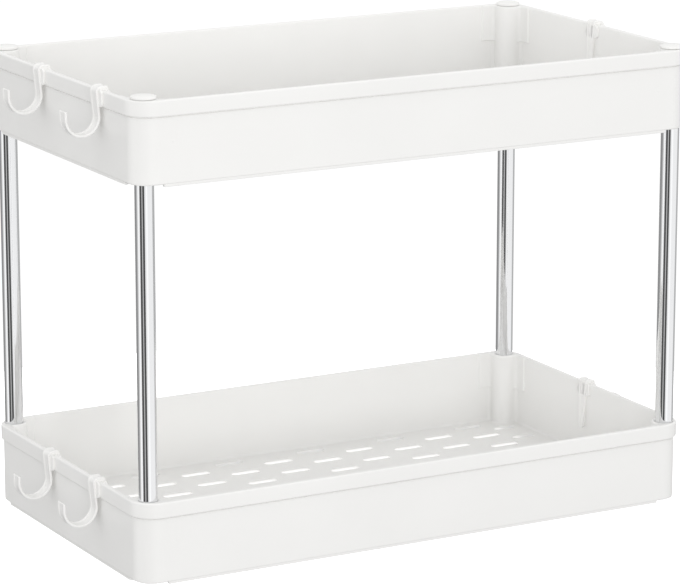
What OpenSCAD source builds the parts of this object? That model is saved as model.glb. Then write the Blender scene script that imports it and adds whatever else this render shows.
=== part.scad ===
// Two-tier kitchen storage rack: two open trays joined by four round steel
// posts, with caps on the upper corners and hooks that sit over the side rims.
// Units are millimetres. X runs along the long side, Y to the back, Z up.
// The origin is on the surface that the rack stands on, under its middle.

/* [Overall] */

// Length of each tray over its rim
tray_length = 400; // [300:1:500]
// Depth of each tray over its rim, front to back
tray_depth = 225; // [180:1:300]
// Height of each tray from the floor's underside to the rim's top
tray_height = 52; // [40:0.5:80]
// Height of one tray's floor above the other's
tier_pitch = 250; // [180:1:350]

/* [Tray] */

// Thickness of the tray walls
wall_thickness = 2; // [1.6:0.1:3]
// Thickness of the tray floor
floor_thickness = 2; // [1.6:0.1:3]
// Height of the stepped band along the rim
rim_height = 10; // [7:0.5:14]
// How far the rim band stands out from the wall
rim_overhang = 1.6; // [1:0.1:3]
// Outer radius of the rim's corners
corner_radius = 16; // [14:0.5:20]
// Height of the foot rails under each tray
rail_height = 1.5; // [1:0.1:3]
// Thickness of the foot rails
rail_thickness = 3; // [2:0.1:5]
// How far the foot rails stop short of the tray's corners
rail_setback = 20; // [18:0.5:30]
// How far the foot rails lie inside the wall's outer face
rail_inset = 0.4; // [0.2:0.1:1]
// Height of the raised pads beside each corner, down from the rim's top
corner_pad_height = 25; // [15:0.5:35]
// How far each raised pad reaches from the tray's outer edge
corner_pad_reach = 28; // [24:0.5:32]
// How far each raised pad stands out from the inner wall
corner_pad_thickness = 1.2; // [0.6:0.1:2]

/* [Drain slots] */

// Length of one drain slot
slot_length = 21; // [15:0.5:28]
// Width of one drain slot
slot_width = 5; // [4:0.1:6]
// Spacing of the slots along a row
slot_pitch = 63.5; // [50:0.5:80]
// Spacing of the rows
slot_row_pitch = 12.4; // [10:0.1:20]
// Length of the short slots at both ends of every second row
end_slot_length = 17; // [10:0.5:21]
// Least floor between a slot and a wall, a boss or the next slot in its row
slot_bridge = 5; // [4:0.5:8]

/* [Posts] */

// Outer diameter of a post
post_diameter = 12; // [10:0.1:16]
// Wall thickness of a post
post_wall = 0.8; // [0.6:0.1:1.5]
// Distance of a post's axis from the tray's outer edges
post_inset = 10.5; // [10:0.1:13]
// Gap between a post and its socket, all round
socket_clearance = 0.1; // [0.05:0.05:0.3]
// Outer diameter of a corner boss
boss_diameter = 17; // [16:0.1:22]
// Thickness of the shelf that each post's end bears on
shelf_thickness = 4; // [3:0.5:6]
// Length of the plug in each end of a post
plug_length = 16; // [12:0.5:24]

/* [Caps and screws] */

// Diameter of a corner cap
cap_diameter = 16; // [14:0.5:20]
// Thickness of a cap at its edge
cap_edge = 1.6; // [1.2:0.1:3]
// Rise of a cap's domed top above its edge
cap_rise = 0.9; // [0.4:0.1:2]
// Gap between a cap and the rim under it
cap_gap = 0.3; // [0.2:0.1:0.8]
// Diameter of a cap's stud
stud_diameter = 6; // [5:0.5:7]
// How far a cap's stud reaches into its plug
stud_engagement = 10; // [8:0.5:12]
// Gap between a stud and its plug, all round
stud_clearance = 0.08; // [0.05:0.01:0.1]
// Diameter of the screws under the lower tray
screw_diameter = 5; // [4:0.5:6]
// Diameter of a screw's head
screw_head_diameter = 9; // [8:0.5:10]
// Height of a screw's head
screw_head_height = 2; // [1.5:0.1:2.5]
// How far a screw reaches into its plug
screw_engagement = 10; // [8:0.5:12]
// Depth of the cross recess in a screw's head
recess_depth = 1.2; // [0.8:0.1:1.5]

/* [Hooks] */

// Width of a hook's strap
hook_width = 9; // [6:0.5:14]
// Width of each raised edge rib of the strap
hook_rib_width = 1.8; // [1.2:0.1:3]
// Thickness of the strap at its edge ribs
hook_rib_thickness = 1.6; // [1.4:0.1:3]
// Thickness of the strap's web, between its ribs
hook_web_thickness = 0.6; // [0.5:0.1:1.4]
// Radius of the hook's bend, to the middle of its thickness
hook_bend_radius = 11.1; // [8:0.1:14]
// Depth of the bend's centre below the rim's top
hook_drop = 16.2; // [14:0.1:20]
// Height of the hook's upright tip above the bend's centre
hook_tip_rise = 4; // [1:0.5:10]
// How far the strap's face stands out from the rim at the top
hook_stand = 3.4; // [3.2:0.1:6]
// How far the strap leans in towards the wall down to its bend
hook_lean = 1.5; // [0:0.1:3]
// Height of the strap's arch above the rim's top
hook_arch_rise = 2.7; // [2.4:0.1:4]
// Radius of the arch at its outer corner
hook_outer_radius = 4; // [3:0.1:5]
// Radius of the arch at its inner corner
hook_inner_radius = 2; // [1.6:0.1:3]
// Width of the two plates that clip over the rim
saddle_width = 16; // [14:0.5:32]
// Thickness of the outer plate
saddle_thickness = 1.6; // [1.2:0.1:2.4]
// Rise of that plate above the rim's top
saddle_rise = 0.8; // [0.2:0.1:1]
// Depth of the inner plate below the rim's top
saddle_inner_depth = 8.7; // [6:0.1:12]
// Thickness of the plate inside the rim
saddle_inner_thickness = 1.4; // [1:0.1:1.5]
// Radius of the plates' corners
saddle_corner = 2.5; // [1:0.1:4]
// How far the filling under the arch lies inside the strap's edges
bridge_inset = 0.3; // [0.2:0.1:1.2]
// Width of the tongue at its round end
tongue_end_width = 6; // [5:0.5:8]
// Length of the tongue below the rim's top
tongue_length = 32; // [20:0.5:40]
// How far the tongue's top is let into the strap above it
tongue_set = 0.15; // [0.1:0.05:0.3]
// How far the tongue leans in from its top to its end
tongue_lean = 1.2; // [0:0.1:5]
// Gap between a hook and the rim that it sits over
hook_clearance = 0.3; // [0.2:0.05:0.5]
// Place of the upper left front hook, along Y
upper_left_front_y = -60.5; // [-75:0.5:-20]
// Place of the upper left back hook, along Y
upper_left_back_y = 25; // [0:0.5:75]
// Place of the lower left front hook, along Y
lower_left_front_y = -47.5; // [-75:0.5:-20]
// Place of the lower left back hook, along Y
lower_left_back_y = 21.5; // [0:0.5:75]
// Place of the upper right hook, along Y
upper_right_y = 4; // [-75:0.5:75]
// Place of the lower right hook, along Y
lower_right_y = 7; // [-75:1:75]

/* [Foot pads] */

// Diameter of a stick-on foot pad
foot_diameter = 14; // [10:0.5:20]
// How far a foot pad stands below the foot rails
foot_stand = 0.5; // [0.3:0.1:2]

/* [Hidden] */

$fn = 72;
overrun = 1;

lower_floor_z = foot_stand + rail_height;
upper_floor_z = lower_floor_z + tier_pitch;

wall_inset = rim_overhang;
cavity_inset = rim_overhang + wall_thickness;
cavity_x = tray_length / 2 - cavity_inset;
cavity_y = tray_depth / 2 - cavity_inset;
rim_top_width = cavity_inset;

post_x = tray_length / 2 - post_inset;
post_y = tray_depth / 2 - post_inset;
socket_diameter = post_diameter + 2 * socket_clearance;
plug_diameter = post_diameter - 2 * post_wall;
post_bottom_z = lower_floor_z + shelf_thickness;
post_top_z = upper_floor_z + tray_height - shelf_thickness;
post_length = post_top_z - post_bottom_z;
stud_hole_diameter = stud_diameter + 2 * stud_clearance;
screw_hole_diameter = screw_diameter + 2 * stud_clearance;
cap_z = upper_floor_z + tray_height + cap_gap;
stud_length = cap_gap + shelf_thickness + stud_engagement;
screw_length = shelf_thickness - screw_head_height + screw_engagement;
dome_radius = (pow(cap_diameter / 2, 2) + pow(cap_rise, 2)) / (2 * cap_rise);
recess_width = screw_head_height / 2;
recess_length = screw_diameter;

// Slots stop short of the bosses; the short ones fill every second row's ends
slot_limit_x = post_x - boss_diameter / 2 - slot_bridge;
slot_limit_y = post_y - boss_diameter / 2 - slot_bridge;
end_slot_x = cavity_x - slot_bridge - slot_width / 4 - end_slot_length / 2;
short_limit_x = end_slot_x - end_slot_length / 2 - slot_bridge;
full_reach = floor((slot_limit_x - slot_length / 2) / slot_pitch - 1 / 2);
short_reach = floor((short_limit_x - slot_length / 2) / slot_pitch);
row_reach = floor((cavity_y - slot_bridge - slot_width / 2) / slot_row_pitch);

// A foot pad sits in a row's clear stretch before its short end slot
foot_thickness = rail_height + foot_stand;
foot_row = row_reach - 1;
foot_x = (short_reach * slot_pitch + slot_length / 2 + end_slot_x - end_slot_length / 2) / 2;
foot_y = foot_row * slot_row_pitch;

// A hook's own frame: u runs outward from the rim's face, v up from its top
hook_strap_u = hook_stand - hook_rib_thickness / 2 - hook_lean;
hook_bend_u = hook_strap_u + hook_bend_radius;
hook_outer_corner_u = hook_stand - hook_outer_radius;
hook_outer_corner_v = hook_arch_rise - hook_outer_radius;
hook_inner_u = -rim_top_width - hook_clearance;
tongue_u = hook_inner_u - hook_rib_thickness;
hook_inner_corner_u = tongue_u + hook_inner_radius;
hook_inner_corner_v = hook_arch_rise - hook_inner_radius;
hook_rib_offset = (hook_width - hook_rib_width) / 2;

// A rectangle with round corners, centred on the origin
module rounded_rectangle(length, depth, radius) {
    square([length - 2 * radius, depth], center = true);
    square([length, depth - 2 * radius], center = true);
    for (x = [-1, 1], y = [-1, 1])
        translate([x * (length / 2 - radius), y * (depth / 2 - radius)])
            circle(r = radius);
}

// The tray's outline, drawn in from its outer edge
module tray_outline(inset) {
    rounded_rectangle(tray_length - 2 * inset, tray_depth - 2 * inset, corner_radius - inset);
}

// A drain slot with round ends, centred on the origin
module slot_outline(length) {
    square([length - slot_width, slot_width], center = true);
    for (x = [-1, 1])
        translate([x * (length - slot_width) / 2, 0])
            circle(d = slot_width, $fn = 24);
}

// Staggered rows of drain slots over the tray's floor
module slot_pattern() {
    for (row = [-row_reach : row_reach]) {
        y = row * slot_row_pitch;
        if ((row - row_reach) % 2 == 0) {
            for (i = [-full_reach - 1 : full_reach])
                translate([(i + 1 / 2) * slot_pitch, y])
                    slot_outline(slot_length);
        } else {
            for (i = [-short_reach : short_reach])
                translate([i * slot_pitch, y])
                    slot_outline(slot_length);
            if (abs(y) + slot_width / 2 < slot_limit_y + slot_bridge)
                for (x = [-1, 1])
                    translate([x * end_slot_x, y])
                        slot_outline(end_slot_length);
        }
    }
}

// Four copies, one at each post
module at_posts() {
    for (x = [-1, 1], y = [-1, 1])
        translate([x * post_x, y * post_y, 0])
            children();
}

// Rails under the floor that stop short of the corners
module foot_rails() {
    rail_edge = wall_inset + rail_inset;
    for (side = [-1, 1]) {
        translate([0, side * (tray_depth / 2 - rail_edge - rail_thickness / 2), -rail_height / 2])
            cube([tray_length - 2 * rail_setback, rail_thickness, rail_height], center = true);
        translate([side * (tray_length / 2 - rail_edge - rail_thickness / 2), 0, -rail_height / 2])
            cube([rail_thickness, tray_depth - 2 * rail_setback, rail_height], center = true);
    }
}

// Raised pads on the inner walls beside each corner boss
module corner_pads() {
    pad_z = tray_height - corner_pad_height;
    for (x = [0, 1], y = [0, 1])
        mirror([x, 0, 0])
            mirror([0, y, 0])
                translate([tray_length / 2 - corner_pad_reach, tray_depth / 2 - cavity_inset, pad_z])
                    translate([0, -corner_pad_thickness, 0])
                        cube([corner_pad_reach - corner_radius, corner_pad_thickness, corner_pad_height]);
    for (x = [0, 1], y = [0, 1])
        mirror([x, 0, 0])
            mirror([0, y, 0])
                translate([tray_length / 2 - cavity_inset, tray_depth / 2 - corner_pad_reach, pad_z])
                    translate([-corner_pad_thickness, 0, 0])
                        cube([corner_pad_thickness, corner_pad_reach - corner_radius, corner_pad_height]);
}

// The moulded tray without its sockets, standing on its floor's underside
module tray_body() {
    difference() {
        union() {
            linear_extrude(tray_height - rim_height)
                tray_outline(wall_inset);
            translate([0, 0, tray_height - rim_height])
                linear_extrude(rim_height)
                    tray_outline(0);
        }
        translate([0, 0, floor_thickness])
            linear_extrude(tray_height)
                tray_outline(cavity_inset);
        translate([0, 0, -overrun])
            linear_extrude(floor_thickness + 2 * overrun)
                slot_pattern();
    }
    corner_pads();
    foot_rails();
    intersection() {
        at_posts()
            cylinder(d = boss_diameter, h = tray_height);
        linear_extrude(tray_height)
            tray_outline(wall_inset);
    }
}

module lower_tray() {
    color("white")
        translate([0, 0, lower_floor_z])
            difference() {
                tray_body();
                at_posts() {
                    translate([0, 0, shelf_thickness])
                        cylinder(d = socket_diameter, h = tray_height);
                    translate([0, 0, -overrun])
                        cylinder(d = screw_hole_diameter, h = shelf_thickness + 2 * overrun);
                    translate([0, 0, -overrun])
                        cylinder(d = screw_head_diameter + 2 * socket_clearance, h = screw_head_height + overrun);
                }
            }
}

module upper_tray() {
    color("white")
        translate([0, 0, upper_floor_z])
            difference() {
                tray_body();
                at_posts() {
                    translate([0, 0, -overrun])
                        cylinder(d = socket_diameter, h = tray_height - shelf_thickness + overrun);
                    cylinder(d = stud_hole_diameter, h = tray_height + overrun);
                }
            }
}

// A round steel tube between the two shelves
module post(x, y) {
    color("silver")
        translate([x * post_x, y * post_y, post_bottom_z])
            difference() {
                cylinder(d = post_diameter, h = post_length);
                translate([0, 0, -overrun])
                    cylinder(d = plug_diameter, h = post_length + 2 * overrun);
            }
}

// The threaded plug in a post's end, with the hole that a stud or screw fills
module plug(x, y, z, hole) {
    color("gray")
        translate([x * post_x, y * post_y, z])
            difference() {
                cylinder(d = plug_diameter, h = plug_length);
                translate([0, 0, -overrun])
                    cylinder(d = hole, h = plug_length + 2 * overrun);
            }
}

// A domed cap with the stud that holds the upper tray on its post
module cap(x, y) {
    color("white")
        translate([x * post_x, y * post_y, cap_z]) {
            cylinder(d = cap_diameter, h = cap_edge);
            translate([0, 0, cap_edge])
                rotate_extrude()
                    intersection() {
                        translate([0, cap_rise - dome_radius])
                            circle(r = dome_radius, $fn = 360);
                        square([cap_diameter / 2, cap_rise]);
                    }
            translate([0, 0, -stud_length])
                cylinder(d = stud_diameter, h = stud_length);
        }
}

// A pan screw that holds a post to the lower tray from below
module screw(x, y) {
    color("silver")
        translate([x * post_x, y * post_y, lower_floor_z])
            difference() {
                union() {
                    cylinder(d = screw_head_diameter, h = screw_head_height);
                    cylinder(d = screw_diameter, h = screw_head_height + screw_length);
                }
                for (turn = [0, 90])
                    rotate(turn)
                        cube([recess_length, recess_width, 2 * recess_depth], center = true);
            }
}

// The bend and the upright tip of a hook, for one thickness
module hook_bend_outline(thickness) {
    tip_u = hook_bend_u + hook_bend_radius;
    reach = hook_bend_radius + thickness;
    translate([hook_bend_u, -hook_drop])
        difference() {
            circle(r = hook_bend_radius + thickness / 2);
            circle(r = hook_bend_radius - thickness / 2);
            translate([-reach, 0])
                square(2 * reach);
        }
    translate([tip_u - thickness / 2, -hook_drop])
        square([thickness, hook_tip_rise]);
    translate([tip_u, hook_tip_rise - hook_drop])
        circle(d = thickness, $fn = 24);
}

// The strap that comes down outside the rim, leaning in towards the bend
module hook_strap_outline(thickness) {
    half = thickness / 2;
    top_u = hook_stand - hook_rib_thickness / 2;
    polygon([
        [hook_strap_u - half, -hook_drop],
        [hook_strap_u + half, -hook_drop],
        [top_u + half, hook_outer_corner_v],
        [top_u - half, hook_outer_corner_v]
    ]);
}

// A quarter turn of the strap about its corner's centre, on one side in u; radius is its outside
module hook_corner_outline(u, v, radius, side, thickness) {
    middle = radius - hook_rib_thickness / 2;
    translate([u, v])
        mirror([side < 0 ? 1 : 0, 0])
            intersection() {
                difference() {
                    circle(r = middle + thickness / 2);
                    circle(r = middle - thickness / 2);
                }
                square(radius);
            }
}

// The strap's arch over the rim, down to the top of its inner leg
module hook_arch_outline(thickness) {
    inset = (hook_rib_thickness - thickness) / 2;
    hook_corner_outline(hook_outer_corner_u, hook_outer_corner_v, hook_outer_radius, 1, thickness);
    hook_corner_outline(hook_inner_corner_u, hook_inner_corner_v, hook_inner_radius, -1, thickness);
    translate([hook_inner_corner_u, hook_arch_rise - inset - thickness])
        square([hook_outer_corner_u - hook_inner_corner_u, thickness]);
    translate([tongue_u + inset, -saddle_corner])
        square([thickness, saddle_corner + hook_inner_corner_v]);
}

// The whole side outline of the strap, for one thickness
module hook_outline(thickness) {
    hook_bend_outline(thickness);
    hook_strap_outline(thickness);
    hook_arch_outline(thickness);
}

// The filling under the arch, let a little way into the web that goes round it
module hook_bridge() {
    width = hook_width - 2 * bridge_inset;
    inside = (hook_rib_thickness + hook_web_thickness) / 2 - hook_web_thickness / 6;
    low_u = tongue_u + inside;
    high_u = hook_clearance + saddle_thickness / 3;
    translate([low_u, -width / 2, hook_clearance])
        cube([high_u - low_u, width, hook_arch_rise - inside - hook_clearance]);
}

// A flat plate along the rim, from v = low to high, u its inner face
module hook_plate(u, low, high, width, corner, thickness) {
    translate([u, 0, (low + high) / 2])
        rotate([90, 0, 90])
            linear_extrude(thickness)
                rounded_rectangle(width, high - low, corner);
}

// The whole hook in its own frame
module hook_solid() {
    for (side = [-1, 1])
        translate([0, side * hook_rib_offset, 0])
            hook_slice(hook_rib_width)
                hook_outline(hook_rib_thickness);
    hook_slice(hook_width - hook_rib_width)
        hook_outline(hook_web_thickness);
    hook_bridge();
    hook_plate(hook_clearance, -rim_height, saddle_rise, saddle_width, saddle_corner, saddle_thickness);
    inner_plate_u = hook_inner_u - saddle_inner_thickness;
    hook_plate(inner_plate_u, -saddle_inner_depth, 0, saddle_width, saddle_corner, saddle_inner_thickness);
    tongue();
}

// The tongue's face, narrowing to its round end, drawn in by inset
module tongue_outline(inset) {
    top = hook_width / 2 - inset;
    tip = tongue_end_width / 2 - inset;
    reach = tongue_length - tongue_end_width / 2;
    polygon([[-tip, -reach], [tip, -reach], [top, 0], [-top, 0]]);
    translate([0, -reach])
        circle(r = tip);
}

// The tongue inside the tray, grooved as the strap is; it leans away from the wall to its end
module tongue() {
    groove = (hook_rib_thickness - hook_web_thickness) / 2;
    translate([tongue_u + tongue_set, 0, -tongue_set])
        rotate([0, atan(tongue_lean / tongue_length), 0])
            rotate([90, 0, 90])
                difference() {
                    linear_extrude(hook_rib_thickness)
                        tongue_outline(0);
                    translate([0, 0, -groove])
                        linear_extrude(2 * groove)
                            tongue_outline(hook_rib_width);
                }
}

// Extrudes an outline in (u, v) to a given width, centred on the hook
module hook_slice(width) {
    translate([0, width / 2, 0])
        rotate([90, 0, 0])
            linear_extrude(width)
                children();
}

// A hook on a tray's side rim; side is -1 on the left and 1 on the right
module hook(side, y, floor_z) {
    color("whitesmoke")
        translate([side * tray_length / 2, y, floor_z + tray_height])
            mirror([side < 0 ? 1 : 0, 0, 0])
                hook_solid();
}

// A round pad stuck under the lower tray
module foot(x, y) {
    color("lightgray")
        translate([x * foot_x, y * foot_y, 0])
            cylinder(d = foot_diameter, h = foot_thickness);
}

top_plug_z = post_top_z - plug_length;
module post_front_left() post(-1, -1);
module post_front_right() post(1, -1);
module post_back_left() post(-1, 1);
module post_back_right() post(1, 1);
module top_plug_front_left() plug(-1, -1, top_plug_z, stud_hole_diameter);
module top_plug_front_right() plug(1, -1, top_plug_z, stud_hole_diameter);
module top_plug_back_left() plug(-1, 1, top_plug_z, stud_hole_diameter);
module top_plug_back_right() plug(1, 1, top_plug_z, stud_hole_diameter);
module base_plug_front_left() plug(-1, -1, post_bottom_z, screw_diameter);
module base_plug_front_right() plug(1, -1, post_bottom_z, screw_diameter);
module base_plug_back_left() plug(-1, 1, post_bottom_z, screw_diameter);
module base_plug_back_right() plug(1, 1, post_bottom_z, screw_diameter);
module cap_front_left() cap(-1, -1);
module cap_front_right() cap(1, -1);
module cap_back_left() cap(-1, 1);
module cap_back_right() cap(1, 1);
module screw_front_left() screw(-1, -1);
module screw_front_right() screw(1, -1);
module screw_back_left() screw(-1, 1);
module screw_back_right() screw(1, 1);
module hook_upper_left_front() hook(-1, upper_left_front_y, upper_floor_z);
module hook_upper_left_back() hook(-1, upper_left_back_y, upper_floor_z);
module hook_upper_right() hook(1, upper_right_y, upper_floor_z);
module hook_lower_left_front() hook(-1, lower_left_front_y, lower_floor_z);
module hook_lower_left_back() hook(-1, lower_left_back_y, lower_floor_z);
module hook_lower_right() hook(1, lower_right_y, lower_floor_z);
module foot_front_left() foot(-1, -1);
module foot_front_right() foot(1, -1);
module foot_back_left() foot(-1, 1);
module foot_back_right() foot(1, 1);

lower_tray();
upper_tray();
post_front_left();
post_front_right();
post_back_left();
post_back_right();
top_plug_front_left();
top_plug_front_right();
top_plug_back_left();
top_plug_back_right();
base_plug_front_left();
base_plug_front_right();
base_plug_back_left();
base_plug_back_right();
cap_front_left();
cap_front_right();
cap_back_left();
cap_back_right();
screw_front_left();
screw_front_right();
screw_back_left();
screw_back_right();
hook_upper_left_front();
hook_upper_left_back();
hook_upper_right();
hook_lower_left_front();
hook_lower_left_back();
hook_lower_right();
foot_front_left();
foot_front_right();
foot_back_left();
foot_back_right();
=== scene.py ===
"""The looks of a two-tier storage rack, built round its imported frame.

Sizes are in millimetres until make() turns them into metres. Every piece keeps
the place and outline of the CAD node that it stands for.
"""
import math

import bmesh
import bpy
import numpy as np
from mathutils import Matrix, Vector
from mathutils.geometry import delaunay_2d_cdt


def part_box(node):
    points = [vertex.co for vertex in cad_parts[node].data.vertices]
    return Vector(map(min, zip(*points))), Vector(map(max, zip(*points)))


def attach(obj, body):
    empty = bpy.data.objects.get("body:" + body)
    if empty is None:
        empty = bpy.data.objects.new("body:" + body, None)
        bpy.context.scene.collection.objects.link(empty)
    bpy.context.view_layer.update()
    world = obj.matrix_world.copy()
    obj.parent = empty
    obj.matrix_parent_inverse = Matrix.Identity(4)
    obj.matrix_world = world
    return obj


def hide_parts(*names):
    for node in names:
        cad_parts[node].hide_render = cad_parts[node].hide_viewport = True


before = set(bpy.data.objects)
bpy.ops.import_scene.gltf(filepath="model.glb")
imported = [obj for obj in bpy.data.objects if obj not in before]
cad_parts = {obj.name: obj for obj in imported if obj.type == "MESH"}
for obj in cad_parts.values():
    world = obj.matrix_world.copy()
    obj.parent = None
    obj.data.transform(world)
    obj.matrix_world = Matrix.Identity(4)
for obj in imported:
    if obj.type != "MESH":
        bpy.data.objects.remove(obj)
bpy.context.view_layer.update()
MM = 0.001
MICRON = 1e-6
ROOT = "rack"

# Sizes
CORNERS = ("front_left", "front_right", "back_left", "back_right")
HOOKS = ("upper_left_front", "upper_left_back", "upper_right",
         "lower_left_front", "lower_left_back", "lower_right")


def box(node):
    """A CAD node's lowest and highest corners, in millimetres."""
    return [Vector(corner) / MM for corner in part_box(node)]


def middle(node):
    lo, hi = box(node)
    return (lo + hi) / 2


tray_lo, tray_hi = box("lower_tray")
LENGTH, DEPTH = tray_hi.x - tray_lo.x, tray_hi.y - tray_lo.y
TRAY_HEIGHT = 52.0
FLOOR_Z = {tier: box(f"{tier}_tray")[1].z - TRAY_HEIGHT for tier in ("lower", "upper")}
POST_X, POST_Y = (abs(c) for c in middle("post_front_left").xy)

# The tray's walls and floor
WALL = 2.0
FLOOR = 2.0
RIM_HEIGHT = 10.0
RIM_OVERHANG = 1.6
CORNER_RADIUS = 16.0
CORNER_STEPS = 12
CAVITY_INSET = RIM_OVERHANG + WALL
BOSS_RADIUS = 8.5
BOSS_FILLET = 2.5
SHELF = 4.0
RAIL_HEIGHT = 1.5
RAIL_THICKNESS = 3.0
RAIL_SETBACK = 20.0
RAIL_INSET = 0.4
RAIL_CORNER = 0.8
# (inset, height) down a rail's side; the first is let into the floor
RAIL_SECTION = ((0, 0.4), (0, 0.5 - RAIL_HEIGHT), (0.15, 0.15 - RAIL_HEIGHT), (0.5, -RAIL_HEIGHT))
PAD_HEIGHT = 25.0
PAD_FOOT = TRAY_HEIGHT - PAD_HEIGHT
PAD_REACH = 28.0
PAD_THICKNESS = 1.2
# (distance, share of the pad's thickness) over a pad's side edge and its lower edge
PAD_SIDE = ((0, 0), (0.3, 0.15), (0.9, 0.85), (1.2, 1))
PAD_LEDGE = ((-0.4, 0), (-0.1, 0.12), (0.3, 0.88), (0.6, 1))
EDGE_ROUND = 1.1
EDGE_STEPS = 5
# (inset, height) round the rim band's lower edge
RIM_FOOT = ((0, 0.75), (0.16, 0.3), (0.5, 0))
GROOVE_DEPTH = 0.9
GROOVE_HEIGHT = 0.6
GROOVE_LIP = 0.3
FOOT_ROUND = 1.2
FOOT_ROUND_CORNER = 0.35
FLOOR_FILLET = 2.0

# Holes at the posts
HOLE_SEGMENTS = 48
SOCKET_RADIUS = 6.1
STUD_HOLE_RADIUS = 3.08
SCREW_HOLE_RADIUS = 2.58
SCREW_RECESS_RADIUS = 4.6
SCREW_RECESS = 2.0
RECESS_BEVEL = 0.3
STUD_BEVEL = 0.4
# (how much wider, how far down) at the mouth of a post's socket
SOCKET_MOUTH = ((0.7, 0), (0.2, 0.25), (0, 0.8))

# Drain slots
SLOT_LENGTH = 21.0
SLOT_WIDTH = 5.0
SLOT_PITCH = 63.5
SLOT_ROW_PITCH = 12.4
END_SLOT_LENGTH = 17.0
END_SLOT_X = 181.65
SLOT_ROWS = 8
SLOT_BEVEL = 0.5
# (growth, depth) of a slot's eased edge, as shares of the bevel
SLOT_EDGE = ((1, 0), (0.35, 0.24), (0, 1))


# Mesh tools
def quarter(steps):
    """(1 - cos, 1 - sin) along a quarter circle, from (0, 1) to (1, 0)."""
    angles = [math.pi / 2 * i / steps for i in range(steps + 1)]
    return [(1 - math.cos(a), 1 - math.sin(a)) for a in angles]


class Shell:
    """Gathers rings of points into one closed mesh."""

    def __init__(self):
        self.points, self.faces = [], []

    def ring(self, points):
        first = len(self.points)
        self.points += [tuple(p) for p in points]
        return list(range(first, len(self.points)))

    def bridge(self, a, b):
        """Joins two rings of the same count with quads."""
        count = len(a)
        self.faces += [(a[i], a[(i + 1) % count], b[(i + 1) % count], b[i]) for i in range(count)]

    def stack(self, levels):
        """Joins a list of rings one after the other, and returns the first and last."""
        rings = [self.ring(points) for points in levels]
        for a, b in zip(rings, rings[1:]):
            self.bridge(a, b)
        return rings[0], rings[-1]

    def fill(self, rings):
        """Fills the flat region between level rings; what lies inside two rings is open."""
        ids = [i for ring in rings for i in ring]
        flat = [Vector(self.points[i][:2]) for i in ids]
        edges, first = [], 0
        for ring in rings:
            count = len(ring)
            edges += [(first + i, first + (i + 1) % count) for i in range(count)]
            first += count
        _, _, triangles, sources, _, _ = delaunay_2d_cdt(flat, edges, [], 1, 1e-7)
        corners = np.array([[sources[v][0] for v in t] for t in triangles])
        xy = np.array([tuple(p) for p in flat])
        centres = xy[corners].mean(axis=1)
        a, b = xy[[e[0] for e in edges]], xy[[e[1] for e in edges]]
        inside = np.zeros(len(centres), dtype=int)
        for (ax, ay), (bx, by) in zip(a, b):
            if ay != by:
                spans = (centres[:, 1] >= min(ay, by)) & (centres[:, 1] < max(ay, by))
                cut = ax + (centres[:, 1] - ay) / (by - ay) * (bx - ax)
                inside += spans & (cut > centres[:, 0])
        self.faces += [tuple(ids[v] for v in t) for t in corners[inside % 2 == 1]]

    def cap(self, ring):
        self.faces.append(tuple(ring))

    def closed(self, levels):
        """A closed body from a list of rings."""
        for end in self.stack(levels):
            self.cap(end)


def lathe(shell, profile, segments, centre=(0, 0, 0), wave=None):
    """Turns (radius, height) points round an upright axis. wave(angle, height) adds to the radius."""
    cx, cy, cz = centre
    rings = []
    for radius, height in profile:
        if radius == 0:
            rings.append(shell.ring([(cx, cy, cz + height)]))
            continue
        turn = [2 * math.pi * i / segments for i in range(segments)]
        reach = [radius + (wave(a, height) if wave else 0) for a in turn]
        rings.append(shell.ring([(cx + r * math.cos(a), cy + r * math.sin(a), cz + height)
                                 for r, a in zip(reach, turn)]))
    for a, b in zip(rings, rings[1:]):
        if len(a) == len(b):
            shell.bridge(a, b)
        else:
            tip, rim = (a, b) if len(a) == 1 else (b, a)
            shell.faces += [(tip[0], rim[i], rim[(i + 1) % len(rim)]) for i in range(len(rim))]
    return rings


def mesh_of(shell, name, sharp=35):
    """A mesh in metres with outward faces, smooth but for edges over sharp degrees."""
    mesh = bpy.data.meshes.new(name)
    mesh.from_pydata([[c * MM for c in p] for p in shell.points], [], shell.faces)
    work = bmesh.new()
    work.from_mesh(mesh)
    bmesh.ops.remove_doubles(work, verts=work.verts, dist=1e-3 * MM)
    bmesh.ops.recalc_face_normals(work, faces=work.faces)
    work.to_mesh(mesh)
    work.free()
    finish_mesh(mesh, sharp)
    return mesh


def finish_mesh(mesh, sharp):
    mesh.shade_smooth()
    mesh.set_sharp_from_angle(angle=math.radians(sharp))


def make(mesh, name, body, material, replaces, at=None):
    """Places a mesh as one piece that rides on a body and stands for CAD nodes."""
    piece = bpy.data.objects.new(name, mesh)
    bpy.context.scene.collection.objects.link(piece)
    if at is not None:
        piece.matrix_world = at
    if not mesh.materials:
        mesh.materials.append(material)
    even = piece.modifiers.new("even_normals", "WEIGHTED_NORMAL")
    even.keep_sharp = True
    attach(piece, body)
    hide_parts(*replaces)
    return piece


# Tray
LONG_MARKS = (171.6, 175.4)
SHORT_MARKS = (88.0,)
MARK_WIDTH = 0.45
MARK_RISE = 0.14
MARK_TOP = 1.2
MARK_FADE = 0.4
GATE_X = 174.0
GATE_RADIUS = 0.9
GATE_SEGMENTS = 12
GATE_DROP = 0.6
# (share of the radius, distance out of the wall) from a gate mark's root to its face
GATE_STEPS = ((1, -0.3), (1, 0.08), (0.6, 0.16))


def turned(points, turn, z):
    """Points of one side (along, outward), turned to the tray's side and raised to z."""
    c, s = ((1, 0), (0, 1), (-1, 0), (0, -1))[turn]
    return [(along * c + out * s, along * s - out * c, z) for along, out in points]


def sides():
    """For each side of the tray: half its length, half the tray's size across it, and its marks."""
    for turn in range(4):
        if turn % 2 == 0:
            yield turn, LENGTH / 2, DEPTH / 2, LONG_MARKS
        else:
            yield turn, DEPTH / 2, LENGTH / 2, SHORT_MARKS


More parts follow.
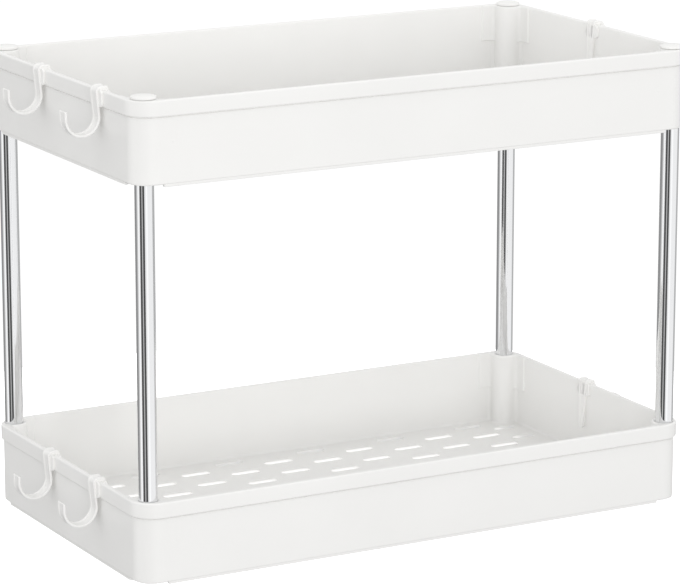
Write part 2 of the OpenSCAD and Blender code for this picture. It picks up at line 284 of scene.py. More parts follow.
def outer_ring(inset, z, rise=0.0, corner_inset=None):
    """The tray's outline drawn in by inset, or by corner_inset at the corners' middles.

    rise lifts the fine sink marks beside the corners.
    """
    ease = 0 if corner_inset is None else inset - corner_inset
    points = []
    for turn, along, across, marks in sides():
        out = across - inset
        stations = sorted(sign * (m + d) for m in marks for sign in (-1, 1)
                          for d in (-MARK_WIDTH, 0, MARK_WIDTH))
        crests = {sign * m for m in marks for sign in (-1, 1)}
        side = [(s, out + (rise if s in crests else 0)) for s in stations]
        for i in range(CORNER_STEPS + 1):
            a = math.pi / 2 * i / CORNER_STEPS
            radius = CORNER_RADIUS - inset + ease * math.sin(2 * a) ** 2
            side.append((along - CORNER_RADIUS + radius * math.sin(a),
                         across - CORNER_RADIUS + radius * math.cos(a)))
        points += turned(side, turn, z)
    return points


def boss_turn(along, across, inset, pad):
    """The cavity's outline at a side's end: a fillet, then the boss as far as its middle."""
    fillet = BOSS_FILLET - inset
    boss = BOSS_RADIUS + inset
    post = (along - (LENGTH / 2 - POST_X), across - (DEPTH / 2 - POST_Y))
    wall = across - CAVITY_INSET - inset - pad
    drop = post[1] - (wall - fillet)
    run = math.sqrt((boss + fillet) ** 2 - drop ** 2)
    centre = (post[0] - run, wall - fillet)
    towards = math.atan2(drop, run)
    points = []
    for i in range(7):
        a = math.pi / 2 + (towards - math.pi / 2) * i / 6
        points.append((centre[0] + fillet * math.cos(a), centre[1] + fillet * math.sin(a)))
    start, end = towards + math.pi, math.pi * 5 / 4
    for i in range(1, 7):
        a = start + (end - start) * i / 6
        points.append((post[0] + boss * math.cos(a), post[1] + boss * math.sin(a)))
    return points


def cavity_ring(inset, z, pad=0.0):
    """The cavity's outline round the corner bosses, drawn in by inset; pad lifts the raised pads."""
    points = []
    for turn, along, across, _ in sides():
        wall = across - CAVITY_INSET - inset
        step = [(along - PAD_REACH + run, wall - share * pad) for run, share in PAD_SIDE]
        half = step + boss_turn(along, across, inset, pad)
        mirrored = [(-s, out) for s, out in reversed(half[:-1])]
        points += turned(mirrored + half, turn, z)
    return points


def slot_ring(x, y, length, grow, z):
    """A slot's outline with round ends, grown all round."""
    radius = SLOT_WIDTH / 2 + grow
    points = []
    for side in (1, -1):
        for i in range(9):
            a = -math.pi / 2 + math.pi * i / 8
            points.append((x + side * ((length - SLOT_WIDTH) / 2 + radius * math.cos(a)),
                           y + side * radius * math.sin(a), z))
    return points


def slots():
    """(x, y, length) of every drain slot, in staggered rows with short ones at the ends."""
    for row in range(-SLOT_ROWS, SLOT_ROWS + 1):
        y = row * SLOT_ROW_PITCH
        if (row - SLOT_ROWS) % 2 == 0:
            for i in range(-3, 3):
                yield (i + 0.5) * SLOT_PITCH, y, SLOT_LENGTH
        else:
            for i in range(-2, 3):
                yield i * SLOT_PITCH, y, SLOT_LENGTH
            for x in (-END_SLOT_X, END_SLOT_X):
                yield x, y, END_SLOT_LENGTH


def rail(shell, x, y, length):
    """A foot rail with a rounded lower edge, along X where x is zero and along Y otherwise."""
    levels = []
    for inset, z in RAIL_SECTION:
        corner = RAIL_CORNER - inset / 2
        ring = []
        for turn, (sx, sy) in enumerate(((1, -1), (1, 1), (-1, 1), (-1, -1))):
            for i in range(5):
                a = math.pi / 2 * (turn - 1 + i / 4)
                along = sx * (length / 2 - inset - corner) + corner * math.cos(a)
                out = sy * (RAIL_THICKNESS / 2 - inset - corner) + corner * math.sin(a)
                ring.append((along, y + out, z) if x == 0 else (x - out, along, z))
        levels.append(ring)
    shell.closed(levels)


def inside_levels():
    """The cavity's rings: floor fillet, wall with its raised pads, rounded top edge."""
    levels = [cavity_ring(FLOOR_FILLET * out, FLOOR + FLOOR_FILLET * up) for up, out in quarter(EDGE_STEPS)]
    levels += [cavity_ring(0, PAD_FOOT + up, PAD_THICKNESS * share) for up, share in PAD_LEDGE]
    levels += [cavity_ring(-EDGE_ROUND * out, TRAY_HEIGHT - EDGE_ROUND * down, PAD_THICKNESS)
               for out, down in quarter(EDGE_STEPS)]
    return levels


def outside_levels():
    """The outer rings: round top edge, rim band, groove, wall with its sink marks, round foot."""
    step = TRAY_HEIGHT - RIM_HEIGHT
    groove_foot = step - GROOVE_HEIGHT
    levels = [outer_ring(EDGE_ROUND * inset, TRAY_HEIGHT - EDGE_ROUND * down)
              for down, inset in quarter(EDGE_STEPS)]
    levels += [outer_ring(inset, step + up) for inset, up in RIM_FOOT]
    levels += [outer_ring(RIM_OVERHANG + GROOVE_DEPTH, z) for z in (step, groove_foot)]
    levels += [outer_ring(RIM_OVERHANG, groove_foot - GROOVE_LIP), outer_ring(RIM_OVERHANG, step - MARK_TOP)]
    mark_ends = (step - MARK_TOP - MARK_FADE, PAD_FOOT + MARK_FADE)
    levels += [outer_ring(RIM_OVERHANG, z, MARK_RISE) for z in mark_ends]
    levels.append(outer_ring(RIM_OVERHANG, PAD_FOOT))
    for drawn, up in quarter(EDGE_STEPS):
        levels.append(outer_ring(RIM_OVERHANG + FOOT_ROUND * drawn, FOOT_ROUND * up,
                                 corner_inset=RIM_OVERHANG + FOOT_ROUND_CORNER * drawn))
    return levels


def slot_walls(shell):
    """The walls of every slot, with both edges eased. Returns their upper and lower mouths."""
    above, below = [], []
    for x, y, length in slots():
        levels = [slot_ring(x, y, length, SLOT_BEVEL * grow, FLOOR - SLOT_BEVEL * down)
                  for grow, down in SLOT_EDGE]
        levels += [slot_ring(x, y, length, SLOT_BEVEL * grow, SLOT_BEVEL * up)
                   for grow, up in reversed(SLOT_EDGE)]
        first, last = shell.stack(levels)
        above.append(first)
        below.append(last)
    return above, below


def boss_profile(tier):
    """(radius, height) points down through a boss: a socket on a screw hole, or a stud hole on a socket."""
    top = TRAY_HEIGHT
    if tier == "lower":
        mouth = [(SOCKET_RADIUS + wider, top - down) for wider, down in SOCKET_MOUTH]
        shelf = [(SOCKET_RADIUS, SHELF), (SCREW_HOLE_RADIUS, SHELF), (SCREW_HOLE_RADIUS, SCREW_RECESS)]
        return mouth + shelf + [(SCREW_RECESS_RADIUS, SCREW_RECESS), (SCREW_RECESS_RADIUS, RECESS_BEVEL),
                                (SCREW_RECESS_RADIUS + RECESS_BEVEL, 0)]
    return [(STUD_HOLE_RADIUS + STUD_BEVEL, top), (STUD_HOLE_RADIUS, top - STUD_BEVEL),
            (STUD_HOLE_RADIUS, top - SHELF), (SOCKET_RADIUS, top - SHELF), (SOCKET_RADIUS, 0)]


def gate_mark(shell, x, side):
    """A small round gate mark on a long wall, below the lower end of the sink marks."""
    wall = side * (DEPTH / 2 - RIM_OVERHANG)
    turn = [2 * math.pi * i / GATE_SEGMENTS for i in range(GATE_SEGMENTS)]
    shell.closed([[(x + GATE_RADIUS * share * math.cos(a), wall + side * out,
                    PAD_FOOT - GATE_DROP + GATE_RADIUS * share * math.sin(a)) for a in turn]
                  for share, out in GATE_STEPS])


def tray_shell(tier):
    """One tray, from the underside of its floor: walls, rim, slots, bosses, rails and gate marks."""
    shell = Shell()
    floor_ring, cavity_top = shell.stack(inside_levels())
    rim_top, foot_ring = shell.stack(outside_levels())
    above, below = slot_walls(shell)
    mouths = []
    for x in (-POST_X, POST_X):
        for y in (-POST_Y, POST_Y):
            rings = lathe(shell, boss_profile(tier), HOLE_SEGMENTS, (x, y, 0))
            mouths.append(rings[0])
            below.append(rings[-1])
    shell.fill([floor_ring] + above)
    shell.fill([foot_ring] + below)
    shell.fill([rim_top, cavity_top] + mouths)
    edge = RIM_OVERHANG + RAIL_INSET + RAIL_THICKNESS / 2
    for side in (-1, 1):
        rail(shell, 0, side * (DEPTH / 2 - edge), LENGTH - 2 * RAIL_SETBACK)
        rail(shell, side * (LENGTH / 2 - edge), 0, DEPTH - 2 * RAIL_SETBACK)
        for x in (-GATE_X, GATE_X):
            gate_mark(shell, x, side)
    return shell


# Hook
HOOK_WIDTH = 9.0
HOOK_RIB = 1.8
RIB_HALF = 0.8
WEB_HALF = 0.3
BEND_RADIUS = 11.1
HOOK_DROP = 16.2
TIP_RISE = 4.0
HOOK_STAND = 3.4
STRAP_LOW_U = 1.1
ARCH_RISE = 2.7
OUTER_RADIUS = 4.0
INNER_RADIUS = 2.0
RIM_GAP = 0.08
SADDLE_WIDTH = 16.0
SADDLE_THICKNESS = 1.6
SADDLE_RISE = 0.8
SADDLE_INNER_DEPTH = 8.7
SADDLE_INNER_THICKNESS = 1.4
SADDLE_CORNER = 2.5
BRIDGE_INSET = 0.3
TONGUE_END_WIDTH = 6.0
TONGUE_LENGTH = 32.0
TONGUE_LEAN = 1.2
TONGUE_SET = 0.15
INNER_U = -CAVITY_INSET - RIM_GAP
TONGUE_U = INNER_U - 2 * RIB_HALF
HOOK_EASE = 0.4
RIB_EDGE = 0.55
RIB_SHOULDER = 0.3
WEB_FILLET = 0.12
BRIDGE_EASE = 0.2
BRIDGE_CORNER = 0.3
# (inset from the rib, share of the way down) into the tongue's sunk face
TONGUE_STEP = ((-0.35, 0), (-0.1, 0.16), (0, 0.5), (0.05, 0.84), (0.15, 1))


def turn_points(centre, radius, start, end, steps):
    """Points on an arc in (u, v), from one angle to another in degrees."""
    angles = [math.radians(start + (end - start) * i / steps) for i in range(steps + 1)]
    return [(centre[0] + radius * math.cos(a), centre[1] + radius * math.sin(a)) for a in angles]


def strap_path():
    """The middle of the strap in (u, v): up inside the rim, over it, down outside and round the bend."""
    inner = (TONGUE_U + INNER_RADIUS, ARCH_RISE - INNER_RADIUS)
    outer = (HOOK_STAND - OUTER_RADIUS, ARCH_RISE - OUTER_RADIUS)
    bend = (STRAP_LOW_U + BEND_RADIUS, -HOOK_DROP)
    path = [(TONGUE_U + RIB_HALF, -SADDLE_THICKNESS / 2)]
    path += turn_points(inner, INNER_RADIUS - RIB_HALF, 180, 90, steps=6)
    path += turn_points(outer, OUTER_RADIUS - RIB_HALF, 90, 0, steps=10)
    top = path[-1]
    for i in range(1, 6):
        share = i / 6
        path.append((top[0] + (STRAP_LOW_U - top[0]) * share, top[1] + (bend[1] - top[1]) * share))
    path += turn_points(bend, BEND_RADIUS, 180, 360, steps=30)
    return path


def strap_stations():
    """(u, v, direction, thickness scale) at each ring of the strap, ending in its round tip."""
    path = [Vector(p) for p in strap_path()]
    stations = []
    for i, place in enumerate(path):
        run = (path[min(i + 1, len(path) - 1)] - path[max(i - 1, 0)]).normalized()
        stations.append((place, run if i < len(path) - 1 else Vector((0, 1)), 1))
    tip = path[-1] + Vector((0, TIP_RISE))
    for i in range(9):
        a = math.pi / 2 * i / 8
        stations.append((tip + Vector((0, RIB_HALF * math.sin(a))), Vector((0, 1)), math.cos(a)))
    return stations


def strap_section(scale):
    """(across, out) points round the strap: two ribs with round edges and a sunk web."""
    edge, inner = HOOK_WIDTH / 2, HOOK_WIDTH / 2 - HOOK_RIB
    corner = [(edge, 0)]
    corner += [(edge - RIB_EDGE * s, RIB_HALF - RIB_EDGE * t) for s, t in quarter(5)]
    shoulder = RIB_HALF - HOOK_EASE
    for i in range(5):
        a = math.pi / 2 * (1 + i / 4)
        corner.append((inner + HOOK_EASE * (1 + math.cos(a)), shoulder + RIB_SHOULDER * math.sin(a)))
    for i in range(3):
        a = math.pi / 2 * i / 2
        corner.append((inner - WEB_FILLET * math.sin(a), WEB_HALF + WEB_FILLET * (1 - math.cos(a))))
    corner.append((0, WEB_HALF))
    top = corner + [(-s, t) for s, t in reversed(corner[:-1])]
    loop = top + [(s, -t) for s, t in reversed(top[1:-1])]
    return [(s, t * scale) for s, t in loop]


def strap_shell():
    shell, levels = Shell(), []
    for place, run, scale in strap_stations():
        out = Vector((-run.y, run.x))
        levels.append([(place.x + out.x * t, s, place.y + out.y * t) for s, t in strap_section(scale)])
    first, _ = shell.stack(levels)
    shell.cap(first)
    return shell


def plate_shell(outline, u_low, u_high, ease=HOOK_EASE):
    """A flat plate between two values of u. outline(inset) gives its (y, v) points."""
    levels = [(ease * inset, u_low + ease * up) for up, inset in quarter(3)]
    levels += [(inset, u_low + u_high - u) for inset, u in reversed(levels)]
    shell = Shell()
    shell.closed([[(u, y, v) for y, v in outline(inset)] for inset, u in levels])
    return shell


def rounded(width, low, high, corner):
    """The outline of a rounded rectangle as a function of its inset."""
    def outline(inset):
        radius = corner - inset
        points = []
        for turn, (sy, sv) in enumerate(((1, 1), (-1, 1), (-1, -1), (1, -1))):
            for i in range(7):
                a = math.pi / 2 * (turn + i / 6)
                points.append((sy * (width / 2 - corner) + radius * math.cos(a),
                               (high - corner if sv > 0 else low + corner) + radius * math.sin(a)))
        return points
    return outline


def tongue_ring(inset, u):
    """The tongue's outline drawn in by inset, at one depth."""
    reach = TONGUE_LENGTH - TONGUE_END_WIDTH / 2
    wide, tip = HOOK_WIDTH / 2 - inset, TONGUE_END_WIDTH / 2 - inset
    end = turn_points((0, -reach), tip, 180, 360, steps=16)
    return [(u, y, v) for y, v in [(wide, 0), (-wide, 0)] + end]


def tongue_shell():
    """The tongue, with round edges and a sunk face between its two ribs; it leans in to its end."""
    thick, sunk = 2 * RIB_HALF, RIB_HALF - WEB_HALF
    levels = [tongue_ring(HOOK_EASE * inset, thick - HOOK_EASE * down) for down, inset in quarter(3)]
    levels += [tongue_ring(HOOK_EASE * inset, HOOK_EASE * up) for inset, up in quarter(3)]
    levels += [tongue_ring(HOOK_RIB + inset, sunk * share) for inset, share in TONGUE_STEP]
    shell = Shell()
    shell.closed(levels)
    lean = Matrix.Rotation(math.atan(TONGUE_LEAN / TONGUE_LENGTH), 3, "Y")
    place = Vector((TONGUE_U + TONGUE_SET, 0, -TONGUE_SET))
    shell.points = [tuple(lean @ Vector(p) + place) for p in shell.points]
    return shell


def bridge_shell():
    """The filling under the arch, let a little way into the web that goes round it."""
    into_web = RIB_HALF + WEB_HALF / 2
    outline = rounded(HOOK_WIDTH - 2 * BRIDGE_INSET, RIM_GAP, ARCH_RISE - into_web, BRIDGE_CORNER)
    return plate_shell(outline, TONGUE_U + into_web, RIM_GAP + SADDLE_THICKNESS / 3, BRIDGE_EASE)


def hook_mesh():
    """The hook in its own frame: u outward from the rim's face, v up from its top."""
    parts = [
        strap_shell(),
        bridge_shell(),
        plate_shell(rounded(SADDLE_WIDTH, -RIM_HEIGHT, SADDLE_RISE, SADDLE_CORNER),
                    RIM_GAP, RIM_GAP + SADDLE_THICKNESS),
        plate_shell(rounded(SADDLE_WIDTH, -SADDLE_INNER_DEPTH, 0, SADDLE_CORNER),
                    INNER_U - SADDLE_INNER_THICKNESS, INNER_U),
        tongue_shell(),
    ]
    objects = []
    for i, shell in enumerate(parts):
        part = bpy.data.objects.new(f"part_{i}", mesh_of(shell, f"part_{i}"))
        bpy.context.scene.collection.objects.link(part)
        objects.append(part)
    for other in objects[1:]:
        union = objects[0].modifiers.new("union", "BOOLEAN")
        union.operation, union.solver, union.object = "UNION", "EXACT", other
    shape = objects[0].evaluated_get(bpy.context.evaluated_depsgraph_get())
    mesh = bpy.data.meshes.new_from_object(shape)
    mesh.name = "hook"
    for part in objects:
        spare = part.data
        bpy.data.objects.remove(part)
        bpy.data.meshes.remove(spare)
    finish_mesh(mesh, sharp=32)
    return mesh


# Turned parts
POST_SEGMENTS = 128
CAP_SEGMENTS = 72
THREAD_RINGS = 60
SOLE_SEGMENTS = 48
POST_WALL = 0.8
POST_EDGE = 0.25
CAP_THICKNESS = 2.5
CAP_DOME = 0.9
CAP_DOME_RADII = (1.2, 2.4, 3.6, 4.8, 5.9, 6.7)
CAP_EDGE_WIDTH = 0.75
CAP_EDGE_HEIGHT = 0.62
CAP_EDGE_FOOT = 1.05
CAP_EDGE_START = 0.35
# (inset, height) from the cap's side to its underside
CAP_HEM = ((0, 0.35), (0.1, 0.1), (0.35, 0))
STUD_RADIUS = 2.95
STUD_FILLET = 0.3
STUD_POINT = 1.0
STUD_TIP = ((2.1, 0.05), (1.6, 0))
THREAD_PITCH = 1.0
THREAD_DEPTH = 0.42
THREAD_START = 4.2
THREAD_FADE = 0.8
SOLE_EASE = 0.15
SOLE_ROUND = 0.5
SOLE_RING = 1.4
SOLE_SLOPE = 0.4
SOLE_HOLLOW = 0.12


def thread_wave(angle, height):
    """A wave for lathe() that winds a thread round the stud and fades out towards the cap."""
    phase = (height / THREAD_PITCH - angle / (2 * math.pi)) % 1
    fade = min(1, max(0, (-height - THREAD_START) / THREAD_FADE))
    return -THREAD_DEPTH * (1 - abs(2 * phase - 1)) * fade


def post_mesh():
    lo, hi = box("post_front_left")
    radius, half = (hi.x - lo.x) / 2, (hi.z - lo.z) / 2
    bore = radius - POST_WALL
    shell = Shell()
    rings = lathe(shell, [(bore + POST_EDGE, -half), (radius - POST_EDGE, -half), (radius, POST_EDGE - half),
                          (radius, half - POST_EDGE), (radius - POST_EDGE, half), (bore + POST_EDGE, half),
                          (bore, half - POST_EDGE), (bore, POST_EDGE - half)], POST_SEGMENTS)
    shell.bridge(rings[-1], rings[0])
    return mesh_of(shell, "post", sharp=50)


def cap_mesh():
    """A domed cap on its threaded stud, with its underside at zero."""
    lo, hi = box("cap_front_left")
    radius, stud = (hi.x - lo.x) / 2, hi.z - lo.z - CAP_THICKNESS
    profile = [(r, CAP_THICKNESS - CAP_DOME * (r / radius) ** 2) for r in (0, *CAP_DOME_RADII)]
    for i in range(6):
        a = math.pi / 2 * (CAP_EDGE_START + (1 - CAP_EDGE_START) * i / 5)
        inset = CAP_EDGE_WIDTH * (1 - math.sin(a))
        profile.append((radius - inset, CAP_EDGE_FOOT + CAP_EDGE_HEIGHT * math.cos(a)))
    profile += [(radius - inset, up) for inset, up in CAP_HEM]
    profile += [(STUD_RADIUS + STUD_FILLET, 0), (STUD_RADIUS, -STUD_FILLET)]
    thread = [(STUD_RADIUS, -STUD_FILLET - (stud - STUD_POINT) * i / THREAD_RINGS)
              for i in range(THREAD_RINGS + 1)]
    shell = Shell()
    lathe(shell, profile, CAP_SEGMENTS)
    threaded = lathe(shell, thread, CAP_SEGMENTS, wave=thread_wave)
    tip = lathe(shell, [(r, up - stud) for r, up in STUD_TIP], CAP_SEGMENTS)
    shell.bridge(threaded[-1], tip[0])
    shell.cap(tip[-1])
    return mesh_of(shell, "cap", sharp=40)


def foot_mesh():
    """A foot pad with a rounded lower edge and a slightly hollow middle."""
    lo, hi = box("foot_front_left")
    radius, height = (hi.x - lo.x) / 2, hi.z - lo.z
    hollow = radius - SOLE_RING - SOLE_SLOPE
    shell = Shell()
    eased = radius - SOLE_EASE
    lathe(shell, [(0, height), (eased, height), (radius, height - SOLE_EASE), (radius, SOLE_ROUND),
                  (eased, SOLE_EASE), (radius - SOLE_ROUND, 0), (radius - SOLE_RING, 0),
                  (hollow, SOLE_HOLLOW), (0, SOLE_HOLLOW)], SOLE_SEGMENTS)
    return mesh_of(shell, "foot", sharp=45)


# Materials
# Painted light in gaps: how far the shade test reaches, how closed in a gap is when its glow is full, and
# the glow's colour
PAINTED_GLOW_REACH = 4 * MM
PAINTED_GLOW_SHUT = 0.5
PAINTED_GLOW_COLOUR = (1, 0.99, 0.97, 1)
NOISE_RANGE = (0.3, 0.7)


class Finish:
    """A material that is built round one Principled shader."""

    def __init__(self, name, colour, roughness, metallic=0.0):
        self.material = bpy.data.materials.new(name)
        self.material.use_nodes = True
        self.tree = self.material.node_tree
        self.shader = self.tree.nodes["Principled BSDF"]
        self.shader.inputs["Base Color"].default_value = (*colour, 1)
        self.shader.inputs["Roughness"].default_value = roughness
        self.shader.inputs["Metallic"].default_value = metallic
        self.place = self.tree.nodes.new("ShaderNodeTexCoord").outputs["Object"]

    def noise(self, scale, detail=3.0, stretch=(1, 1, 1)):
        mapping = self.tree.nodes.new("ShaderNodeMapping")
        mapping.inputs["Scale"].default_value = stretch
        node = self.tree.nodes.new("ShaderNodeTexNoise")
        node.inputs["Scale"].default_value = scale
        node.inputs["Detail"].default_value = detail
        self.tree.links.new(self.place, mapping.inputs["Vector"])
        self.tree.links.new(mapping.outputs["Vector"], node.inputs["Vector"])
        return node.outputs["Fac"]

    def spread(self, value, low, high):
        """Maps a noise's usual range to low..high."""
        node = self.tree.nodes.new("ShaderNodeMapRange")
        node.inputs["From Min"].default_value, node.inputs["From Max"].default_value = NOISE_RANGE
        node.inputs["To Min"].default_value, node.inputs["To Max"].default_value = low, high
        self.tree.links.new(value, node.inputs["Value"])
        return node.outputs["Result"]

    def tint(self, value, low, high):
        """Mixes two colours by a noise."""
        node = self.tree.nodes.new("ShaderNodeMix")
        node.data_type = "RGBA"
        node.inputs["A"].default_value, node.inputs["B"].default_value = (*low, 1), (*high, 1)
        self.tree.links.new(self.spread(value, 0, 1), node.inputs["Factor"])
        self.tree.links.new(node.outputs["Result"], self.shader.inputs["Base Color"])

    def painted_glow_in_gaps(self, strength):
        """Paints light into narrow gaps and creases where shade falls: an emission that grows as nearby
        surfaces close in.
        """
        shade = self.tree.nodes.new("ShaderNodeAmbientOcclusion")
        shade.samples = 6
        shade.inputs["Distance"].default_value = PAINTED_GLOW_REACH
        glow = self.tree.nodes.new("ShaderNodeMapRange")
        glow.inputs["From Max"].default_value = PAINTED_GLOW_SHUT
        glow.inputs["To Min"].default_value, glow.inputs["To Max"].default_value = strength, 0
        self.tree.links.new(shade.outputs["AO"], glow.inputs["Value"])
        self.tree.links.new(glow.outputs["Result"], self.shader.inputs["Emission Strength"])
        self.shader.inputs["Emission Color"].default_value = PAINTED_GLOW_COLOUR

    def rough(self, value, low, high):
        self.tree.links.new(self.spread(value, low, high), self.shader.inputs["Roughness"])

    def bumps(self, *layers):
        """Stacks (noise, height in metres) layers of relief."""
        below = None
        for value, height in layers:
            node = self.tree.nodes.new("ShaderNodeBump")
            node.inputs["Strength"].default_value = 1.0
            node.inputs["Distance"].default_value = height
            self.tree.links.new(value, node.inputs["Height"])
            if below is not None:
                self.tree.links.new(below, node.inputs["Normal"])
            below = node.outputs["Normal"]
        self.tree.links.new(below, self.shader.inputs["Normal"])


def moulded(name, low, high, glow=0.0):
    """White moulded plastic: faint flow clouds, a fine grain and slow waves. glow is the strength of the
    painted light put into its gaps and creases, where shade falls.
    """
    finish = Finish(name, high, roughness=0.38)
    # Painted light: gaps and creases glow to lighten their shade
    if glow:
        finish.painted_glow_in_gaps(glow)
    finish.tint(finish.noise(scale=14, detail=4), low, high)
    finish.rough(finish.noise(scale=60, detail=3), low=0.33, high=0.45)
    waves, grain = finish.noise(scale=25, detail=1), finish.noise(scale=2600, detail=2)
    finish.bumps((waves, 120 * MICRON), (grain, 8 * MICRON))
    return finish.material


def chrome():
    """Bright plated tube with faint lengthwise polishing lines."""
    finish = Finish("plated_steel", (0.86, 0.865, 0.875), roughness=0.06, metallic=1.0)
    finish.rough(finish.noise(scale=40, detail=3, stretch=(1, 1, 0.3)), low=0.04, high=0.09)
    finish.bumps((finish.noise(scale=1800, detail=2, stretch=(1, 1, 0.01)), 2 * MICRON))
    return finish.material


def screw_finish():
    finish = Finish("zinc_plate", (0.62, 0.63, 0.64), roughness=0.3, metallic=1.0)
    finish.tint(finish.noise(scale=500, detail=2), (0.55, 0.56, 0.58), (0.68, 0.68, 0.66))
    finish.rough(finish.noise(scale=900, detail=2), low=0.22, high=0.4)
    finish.bumps((finish.noise(scale=3000, detail=2), 10 * MICRON))
    return finish.material


def plug_finish():
    finish = Finish("plug_plastic", (0.6, 0.6, 0.59), roughness=0.6)
    finish.tint(finish.noise(scale=300, detail=2), (0.56, 0.56, 0.55), (0.64, 0.64, 0.63))
    finish.rough(finish.noise(scale=400, detail=2), low=0.5, high=0.7)
    finish.bumps((finish.noise(scale=2000, detail=2), 20 * MICRON))
    return finish.material


def foam():
    finish = Finish("foam_pad", (0.75, 0.75, 0.74), roughness=0.85)
    finish.tint(finish.noise(scale=700, detail=3), (0.68, 0.68, 0.67), (0.8, 0.8, 0.79))
    finish.rough(finish.noise(scale=900, detail=2), low=0.75, high=0.95)
    finish.bumps((finish.noise(scale=1500, detail=3), 80 * MICRON))
    return finish.material


# The object
def upright(node, z):
    """A place on a CAD node's own axis, at a height in millimetres."""
    centre = middle(node)
    return Matrix.Translation(Vector((centre.x, centre.y, z)) * MM)


def place_tray(tier, finish):
    name = f"{tier}_tray_shell"
    make(mesh_of(tray_shell(tier), name), name, ROOT, finish, [f"{tier}_tray"],
         Matrix.Translation((0, 0, FLOOR_Z[tier] * MM)))


def place_hook(place, mesh, finish):
    """A hook on its rim; those on the left end are turned round."""
    node = f"hook_{place}"
    centre = middle(node)
    side = 1 if centre.x > 0 else -1
    rim_top = FLOOR_Z[place.split("_")[0]] + TRAY_HEIGHT
    at = Matrix.Translation(Vector((side * LENGTH / 2, centre.y, rim_top)) * MM)
    if side < 0:
        at = at @ Matrix.Rotation(math.pi, 4, "Z")
    make(mesh, f"side_hook_{place}", f"{node}_body", finish, [node], at)


def place_at_posts():
    """Posts, caps and foot pads, each from one mesh."""
    post, cap, foot = post_mesh(), cap_mesh(), foot_mesh()
    plated, cap_white, pad = chrome(), moulded("cap_plastic", *BRIGHT_WHITE), foam()
    for corner in CORNERS:
        node = f"post_{corner}"
        make(post, f"post_tube_{corner}", ROOT, plated, [node], upright(node, middle(node).z))
        node = f"cap_{corner}"
        make(cap, f"domed_cap_{corner}", f"{node}_body", cap_white, [node],
             upright(node, box(node)[1].z - CAP_THICKNESS))
        node = f"foot_{corner}"
        make(foot, f"foot_pad_{corner}", ROOT, pad, [node], upright(node, box(node)[0].z))


def dress_kept_nodes():
    """The screws and plugs keep their CAD solids and get materials of their own."""
    zinc, plug = screw_finish(), plug_finish()
    for name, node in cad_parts.items():
        finish = zinc if name.startswith("screw") else plug if "plug" in name else None
        if finish:
            node.data.materials.clear()
            node.data.materials.append(finish)


TRAY_TONES = ((0.87, 0.866, 0.852), (0.892, 0.888, 0.874))
BRIGHT_WHITE = ((0.875, 0.87, 0.855), (0.9, 0.896, 0.882))
# Strength of the painted light that lightens the shade in each material's gaps and creases
TRAY_PAINTED_GLOW = 0.1
HOOK_PAINTED_GLOW = 0.18

tray_white = moulded("tray_plastic", *TRAY_TONES, TRAY_PAINTED_GLOW)
for tier in FLOOR_Z:
    place_tray(tier, tray_white)
place_at_posts()
hook, hook_white = hook_mesh(), moulded("hook_plastic", *BRIGHT_WHITE, HOOK_PAINTED_GLOW)
for place in HOOKS:
    place_hook(place, hook, hook_white)
dress_kept_nodes()


# Studio
CAMERA_YAW = -28.709
CAMERA_PITCH = 13.506
CAMERA_PLACE = (-1.10098, -2.01124, 0.69136)
CAMERA_LENS = 189.99
LIGHT_ABOVE = 0.987
LIGHT_BELOW = 0.67
WHITE_SHEET = 1.05
MIRRORED_ABOVE = 0.95
FLOOR_SEEN = 0.95
FLOOR_GLOW = 0.6
FLOOR_RADIUS = 420
FLOOR_EDGE = 4
FLOOR_DEPTH = 6
# What the tubes mirror low down: brightness from each turn on, in degrees to the right of the camera
SHEETS = [(-180, 0.3), (-104, 0.6), (-86, 1.05), (-56, 0.09), (-30, 0.6), (-20, 0.08), (3, 0.9), (18, 1.12),
          (38, 0.98), (105, 0.5)]
SHEET_EDGE = 1.5


def add(tree, kind, **inputs):
    """A new shader node. Each input is linked where it is given a socket, and set otherwise."""
    node = tree.nodes.new("ShaderNode" + kind)
    for name, value in inputs.items():
        socket = node.inputs[name.replace("_", " ")]
        if isinstance(value, bpy.types.NodeSocket):
            tree.links.new(value, socket)
        else:
            socket.default_value = value
    return node


def blend_of(tree, share, first, second):
    """Mixes two colours, each a socket or a grey level."""
    mix = tree.nodes.new("ShaderNodeMix")
    mix.data_type = "RGBA"
    tree.links.new(share, mix.inputs["Factor"])
    for name, value in (("A", first), ("B", second)):
        if isinstance(value, bpy.types.NodeSocket):
            tree.links.new(value, mix.inputs[name])
        else:
            mix.inputs[name].default_value = (value, value, value, 1)
    return mix.outputs["Result"]


def sheet_ring(tree, direction):
    """White sheets with dark gaps that stand round the object, by their turn from the camera's side."""
    facing = (0, 0, math.radians(CAMERA_YAW))
    turned_to = add(tree, "Mapping", Vector=direction, Scale=(1, -1, 1), Rotation=facing)
    split = add(tree, "SeparateXYZ", Vector=turned_to.outputs["Vector"])
    turn = tree.nodes.new("ShaderNodeMath")
    turn.operation = "ARCTAN2"
    tree.links.new(split.outputs["X"], turn.inputs[0])
    tree.links.new(split.outputs["Y"], turn.inputs[1])
    around = add(tree, "MapRange", Value=turn.outputs[0], From_Min=-math.pi, From_Max=math.pi)
    ring = add(tree, "ValToRGB", Fac=around.outputs["Result"])
    stops = []
    for (start, value), (end, _) in zip(SHEETS, SHEETS[1:] + [(180, 0)]):
        stops += [(start + SHEET_EDGE, value), (end - SHEET_EDGE, value)]
    elements = ring.color_ramp.elements
    while len(elements) < len(stops):
        elements.new(0.5)
    for element, (degrees, value) in zip(elements, stops):
        element.position = (degrees + 180) / 360
        element.color = (value, value, value, 1)
    return ring.outputs["Color"]


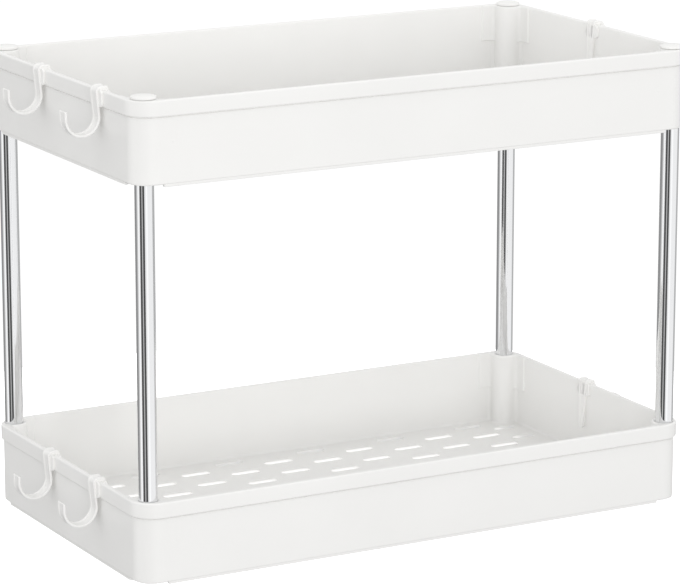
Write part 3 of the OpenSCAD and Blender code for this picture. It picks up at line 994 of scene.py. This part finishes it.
def studio_world():
    """Soft light from all round; mirrored rays see the sheets low down and white above."""
    world = bpy.data.worlds.new("studio")
    bpy.context.scene.world = world
    world.use_nodes = True
    tree = world.node_tree
    tree.nodes.clear()
    direction = add(tree, "TexCoord").outputs["Generated"]
    height = add(tree, "SeparateXYZ", Vector=direction).outputs["Z"]
    rising = add(tree, "MapRange", Value=height, From_Min=-0.2, From_Max=0.2).outputs["Result"]
    soft = blend_of(tree, rising, LIGHT_BELOW, LIGHT_ABOVE)
    over_sheets = add(tree, "MapRange", Value=height, From_Min=0.0, From_Max=0.25).outputs["Result"]
    mirrored = blend_of(tree, over_sheets, sheet_ring(tree, direction), MIRRORED_ABOVE)
    rays = add(tree, "LightPath").outputs
    lit = blend_of(tree, rays["Is Glossy Ray"], soft, mirrored)
    seen = blend_of(tree, rays["Is Camera Ray"], lit, WHITE_SHEET)
    light = add(tree, "Background", Color=seen)
    add(tree, "OutputWorld", Surface=light.outputs["Background"])


def floor_disc():
    """A plain white floor. The camera sees it lit; on the object it only glows, as a white table does."""
    shell = Shell()
    wide = FLOOR_RADIUS + FLOOR_EDGE
    lathe(shell, [(0, 0), (FLOOR_RADIUS, 0), (wide, -1), (wide, -FLOOR_DEPTH), (0, -FLOOR_DEPTH)], 128)
    finish = Finish("studio_floor", (0.9, 0.9, 0.9), roughness=0.7)
    finish.shader.inputs["Emission Color"].default_value = (1, 1, 1, 1)
    finish.shader.inputs["Emission Strength"].default_value = FLOOR_SEEN
    glow = add(finish.tree, "Emission", Strength=FLOOR_GLOW)
    seen = add(finish.tree, "LightPath").outputs["Is Camera Ray"]
    mix = add(finish.tree, "MixShader", Fac=seen)
    finish.tree.links.new(glow.outputs["Emission"], mix.inputs[1])
    finish.tree.links.new(finish.shader.outputs["BSDF"], mix.inputs[2])
    finish.tree.links.new(mix.outputs["Shader"], finish.tree.nodes["Material Output"].inputs["Surface"])
    disc = bpy.data.objects.new("studio_floor", mesh_of(shell, "studio_floor", sharp=30))
    disc.data.materials.append(finish.material)
    disc.visible_glossy = False
    bpy.context.scene.collection.objects.link(disc)


def soft_box(name, place, aim, size, power):
    """An area light, (width, depth) in size, that faces a point."""
    lamp = bpy.data.lights.new(name, "AREA")
    lamp.shape, lamp.size, lamp.size_y, lamp.energy = "RECTANGLE", *size, power
    holder = bpy.data.objects.new(name, lamp)
    bpy.context.scene.collection.objects.link(holder)
    place, aim = Vector(place), Vector(aim)
    holder.location = place
    holder.rotation_euler = (aim - place).to_track_quat("-Z", "Y").to_euler()
    holder.visible_glossy = False


def photo_camera():
    camera = bpy.data.objects.new("camera", bpy.data.cameras.new("camera"))
    bpy.context.scene.collection.objects.link(camera)
    camera.location = CAMERA_PLACE
    camera.rotation_euler = (math.radians(90 - CAMERA_PITCH), 0, math.radians(CAMERA_YAW))
    camera.data.lens = CAMERA_LENS
    camera.data.clip_start, camera.data.clip_end = 0.1, 50
    bpy.context.scene.camera = camera


floor_disc()
studio_world()
soft_box("key_box", place=(-0.76, -2.27, 0.53), aim=(0, 0, 0.15), size=(0.5, 0.5), power=11.5)
soft_box("light_table", place=(0, 0, 0.0003), aim=(0, 0.0001, 1), size=(0.36, 0.19), power=0.2)
photo_camera()
bpy.context.scene.view_settings.view_transform = "Standard"
